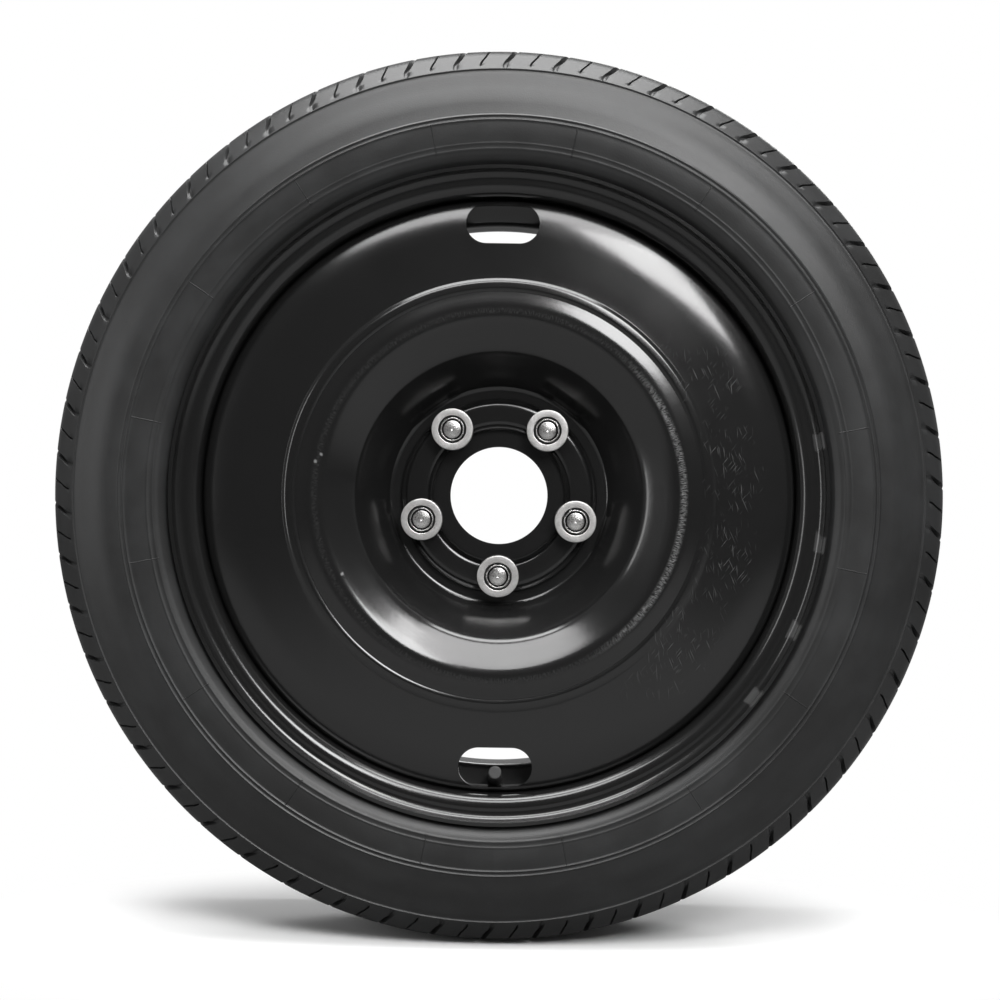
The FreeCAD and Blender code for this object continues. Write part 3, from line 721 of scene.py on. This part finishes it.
def stadium_reach(heading):
    """Distance from a hand hole's centre to its outline in a direction, 0 being outward: the outline
    is two straight sides joined by half circles."""
    end = HAND_HOLE_HEIGHT / 2
    straight = HAND_HOLE_LENGTH / 2 - end
    across, up = np.abs(np.sin(heading)), np.abs(np.cos(heading))
    side = end / np.maximum(up, 1e-9)
    round_end = straight * across + np.sqrt(np.maximum(end ** 2 - (straight * up) ** 2, 0))
    return np.where(side * across <= straight, side, round_end)


def hand_hole_patch(shell, dome, turn, flip):
    """Dome round one hand hole on one face. The border runs along the ring columns and the dome's own
    rows, so that it meets its neighbours point by point; straight rays join it to the hole's outline,
    and each point takes the dome's height at its radius."""
    columns = np.arange(-SECTOR_COLUMNS, SECTOR_COLUMNS + 1) * 2 * math.pi / DISC_COLUMNS
    rows = dome[:, 0]
    border_angle = np.concatenate([columns[:-1], np.full(len(rows) - 1, columns[-1]),
                                   columns[:0:-1], np.full(len(rows) - 1, columns[0])])
    border_radius = np.concatenate([np.full(len(columns) - 1, rows[-1]), rows[:0:-1],
                                    np.full(len(columns) - 1, rows[0]), rows[:-1]])
    heading = np.arctan2(border_angle * HAND_HOLE_RADIUS, border_radius - HAND_HOLE_RADIUS)
    reach = stadium_reach(heading)
    across, up = reach * np.sin(heading), HAND_HOLE_RADIUS + reach * np.cos(heading)
    hole_angle, hole_radius = np.arctan2(across, up), np.hypot(across, up)
    share = np.concatenate([[0, 0.03, 0.07], np.linspace(0.14, 1, 9)])[:, None]
    angle = hole_angle + (border_angle - hole_angle) * share
    radius = hole_radius + (border_radius - hole_radius) * share
    height = np.interp(radius, rows, dome[:, 1])
    shell.add(wheel_point(radius, height, angle + turn), wrap_columns=True, flip=flip)
    return wheel_point(radius[0], height[0], angle[0] + turn)


def hole_wall(front, back):
    """Cut edge of the sheet at a hole: straight from one outline to the other."""
    share = np.linspace(0, 1, 7)[:, None, None]
    return front + (back - front) * share


def make_collars():
    """Five loose collars: a ring with a cup for the bolt head and softened edges."""
    top, foot = COLLAR_REACH, 8.5 * MM
    hole, floor = 7.2 * MM, foot + 2 * MM
    line = bent_line([
        (hole, floor, 0),
        (COLLAR_CUP_RADIUS, floor, 0.4 * MM),
        (COLLAR_CUP_RADIUS, top, 0.5 * MM),
        (COLLAR_RADIUS, top, 0.8 * MM),
        (COLLAR_RADIUS, foot, 0.3 * MM),
        (hole, foot, 0),
        (hole, floor, 0),
    ], math.radians(18), 2 * MM)
    make_round_the_bolts("collar_rings", line, COLLAR_ZINC, "lug_collars", lambda radius, angle: radius)


def hex_radius(radius, angle):
    """Keeps a turned radius inside the flats of a hexagon."""
    nearest = (angle + math.pi / 6) % (math.pi / 3) - math.pi / 6
    flat = BOLT_FLATS / 2 / np.cos(nearest)
    return np.minimum(radius, flat)


def make_bolts():
    """Five wheel bolts: hexagon head with a ringed face and a centre dimple, and the shank."""
    face = BOLT_REACH
    line = bent_line([
        (0, face - 0.5 * MM, 0),
        (0.9 * MM, face - 0.05 * MM, 0.3 * MM),
        (4.5 * MM, face - 0.35 * MM, 12 * MM),
        (6.6 * MM, face - 1.0 * MM, 0.4 * MM),
        (6.8 * MM, face - 2.2 * MM, 0.2 * MM),
        (7.7 * MM, face - 2.2 * MM, 0.2 * MM),
        (7.9 * MM, face, 0.2 * MM),
        (8.7 * MM, face, 0.3 * MM),
        (9.9 * MM, face - 3.2 * MM, 0.5 * MM),
        (9.9 * MM, 10.6 * MM, 0),
        (7.0 * MM, 10.5 * MM, 0),
        (7.0 * MM, BOLT_END_REACH + 1.2 * MM, 0.3 * MM),
        (5.8 * MM, BOLT_END_REACH, 0.3 * MM),
        (0, BOLT_END_REACH, 0),
    ], math.radians(20), 2.5 * MM)
    make_round_the_bolts("bolt_heads", line, BOLT_ZINC, "lug_bolts", hex_radius)


def make_round_the_bolts(name, line, material, node, limit):
    """A line turned about each bolt's own axis."""
    shell = Shell()
    spin = ring_angles(72)[None, :]
    for index in range(BOLT_COUNT):
        angle = math.pi + index * 2 * math.pi / BOLT_COUNT
        radius = limit(line[:, None, 0], spin + angle) + 0 * spin
        points = wheel_point(radius, line[:, None, 1], spin)
        points += wheel_point(BOLT_CIRCLE, 0.0, angle)
        shell.add(points, wrap_columns=True)
    piece = shell.make(name, material, sharp=30)
    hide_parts(node)


def make_spring():
    """Spring of the valve's core: a round section carried along a helix about the valve's axis, drawn to a
    point at each end."""
    press = next(joint for joint in frame["joints"] if joint["name"] == "valve_pin_press")
    axis, seat = -unit(np.array(press["axis"], float)), np.array(press["pos_m"], float)
    side = np.array([1.0, 0.0, 0.0])
    up = np.cross(axis, side)
    turn = np.linspace(0, 2 * math.pi * SPRING_COILS, 24 * SPRING_COILS + 1)[:, None]
    height = SPRING_FOOT + (SPRING_TOP - SPRING_FOOT) * turn / turn[-1]
    outward = np.cos(turn) * side + np.sin(turn) * up
    centre = seat + height * axis + SPRING_RADIUS * outward
    along = np.gradient(centre, axis=0)
    across = np.cross(along / np.linalg.norm(along, axis=1, keepdims=True), outward)
    section = ring_angles(10)[None, :, None]
    thick = np.where(np.arange(len(turn)) % (len(turn) - 1) == 0, 0, SPRING_WIRE)[:, None, None]
    shell = Shell()
    wire = np.cos(section) * outward[:, None] + np.sin(section) * across[:, None]
    shell.add(centre[:, None] + thick * wire, wrap_columns=True)
    piece = shell.make("spring_coil", SPRING_STEEL, body=None)
    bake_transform(piece)
    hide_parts("valve_spring")


def dress_nodes():
    """Finishes for the CAD nodes that are shown as they are."""
    finishes = {
        "disc_welds": PAINT, "valve_body": VALVE_RUBBER, "valve_stem": VALVE_BRASS, "valve_core": VALVE_BRASS,
        "valve_pin": VALVE_BRASS, "valve_seal": VALVE_RUBBER,
        "valve_cap_seal": VALVE_RUBBER, "valve_cap": CAP_PLASTIC,
    }
    for name, material in finishes.items():
        frame["nodes"][name].data.materials.clear()
        frame["nodes"][name].data.materials.append(material)


# Stage

FLOOR_HALF_SIZE = 4.0
# Ellipse on the floor that keeps the shadow: half length along x, half length along y and middle in y
SHADOW_HALF_LENGTH = 0.42
SHADOW_HALF_DEPTH = 0.20
SHADOW_MIDDLE = -0.02


def make_floor():
    """Pale floor that keeps the wheel's soft shadow. To the camera it turns white away from the wheel, so
    that it has no edge. Only the camera sees it pale: to reflections and bounce light it is dark grey,
    painted shade that dims the floor in the wheel's reflections."""
    size, level = FLOOR_HALF_SIZE, -TYRE_RADIUS
    mesh = bpy.data.meshes.new("floor")
    mesh.from_pydata([(-size, -size, level), (size, -size, level), (size, size, level), (-size, size, level)],
                     [], [(0, 1, 2, 3)])
    floor = bpy.data.objects.new("floor", mesh)
    bpy.context.scene.collection.objects.link(floor)
    recipe = Recipe("floor_white").set(Roughness=0.9, Specular_IOR_Level=0.0)
    seen = recipe.nodes.new("ShaderNodeLightPath").outputs["Is Camera Ray"]
    pale = recipe.blend(recipe.noise(3), grey(0.84), grey(0.88))
    # Painted shade: dark grey for every ray but the camera's, pale for the camera.
    recipe.finish(recipe.blend(seen, grey(0.22), pale))
    x, y, _ = recipe.parts()
    sideways = recipe.math("DIVIDE", x, SHADOW_HALF_LENGTH)
    lengthways = recipe.math("DIVIDE", recipe.math("ADD", y, -SHADOW_MIDDLE), SHADOW_HALF_DEPTH)
    far = recipe.math("ADD", recipe.math("POWER", sideways, 2.0), recipe.math("POWER", lengthways, 2.0))
    white = recipe.nodes.new("ShaderNodeEmission")
    mixer = recipe.nodes.new("ShaderNodeMixShader")
    recipe.links.new(recipe.math("MULTIPLY", recipe.band(0.25, 1.0, far), seen), mixer.inputs[0])
    recipe.links.new(recipe.shader.outputs[0], mixer.inputs[1])
    recipe.links.new(white.outputs[0], mixer.inputs[2])
    recipe.links.new(mixer.outputs[0], recipe.nodes["Material Output"].inputs["Surface"])
    mesh.materials.append(recipe.material)


def lamp(name, place, target, size, power):
    """Rectangular softbox at a place, turned to its target."""
    light = bpy.data.lights.new(name, "AREA")
    light.shape = "RECTANGLE"
    light.size, light.size_y = size
    light.energy = power
    item = bpy.data.objects.new(name, light)
    bpy.context.scene.collection.objects.link(item)
    aim = np.array(target, float) - np.array(place, float)
    item.location = place
    item.rotation_euler = Vector(aim).to_track_quat("-Z", "Y").to_euler()


def make_lights():
    """Long softboxes overhead and high in front, one on the right in front, weak ones on the
    left and behind."""
    lamp("overhead", (0.0, -0.20, 1.55), (0, 0, 0), (1.5, 0.8), 40)
    lamp("front_top", (0.0, -1.05, 1.30), (0, 0, 0.1), (1.5, 0.5), 20)
    lamp("key_right", (0.62, -1.35, 0.90), (0, 0, 0.05), (0.6, 0.6), 18)
    lamp("fill_left", (-1.5, -0.9, 0.2), (0, 0, 0), (0.3, 1.2), 5)
    lamp("back_fill", (0.5, 1.6, 1.0), (0, 0, 0), (1.2, 0.8), 16)


def make_world():
    """White to the camera and in reflections of the back; softer light from the room's front."""
    world = bpy.data.worlds.new("studio")
    bpy.context.scene.world = world
    world.use_nodes = True
    nodes, links = world.node_tree.nodes, world.node_tree.links
    back = nodes["Background"]
    back.inputs["Color"].default_value = (1, 1, 1, 1)
    path = nodes.new("ShaderNodeLightPath")
    where = nodes.new("ShaderNodeTexCoord")
    parts = nodes.new("ShaderNodeSeparateXYZ")
    links.new(where.outputs["Generated"], parts.inputs[0])
    gradient = nodes.new("ShaderNodeMapRange")
    links.new(parts.outputs["Y"], gradient.inputs["Value"])
    gradient.inputs["From Min"].default_value = -0.9
    gradient.inputs["From Max"].default_value = 0.5
    gradient.inputs["To Min"].default_value = 0.07
    gradient.inputs["To Max"].default_value = 0.35
    pick = nodes.new("ShaderNodeMix")
    pick.data_type = "FLOAT"
    links.new(path.outputs["Is Camera Ray"], pick.inputs["Factor"])
    links.new(gradient.outputs["Result"], pick.inputs["A"])
    pick.inputs["B"].default_value = 1.0
    links.new(pick.outputs["Result"], back.inputs["Strength"])


def make_camera():
    """The photograph looks straight along the wheel's axis from about 1.1 m."""
    camera = bpy.data.cameras.new("camera")
    camera.lens = 52.6
    camera.sensor_width = 36
    camera.shift_x = 0.001
    camera.shift_y = -0.0045
    item = bpy.data.objects.new("camera", camera)
    bpy.context.scene.collection.objects.link(item)
    item.location = (0, -1.10, 0)
    item.rotation_euler = (math.pi / 2, math.radians(-0.85), 0)
    bpy.context.scene.camera = item


make_tyre()
make_rim()
make_disc()
make_collars()
make_bolts()
make_spring()
dress_nodes()
make_floor()
make_lights()
make_world()
make_camera()
bpy.context.scene.view_settings.view_transform = "Standard"
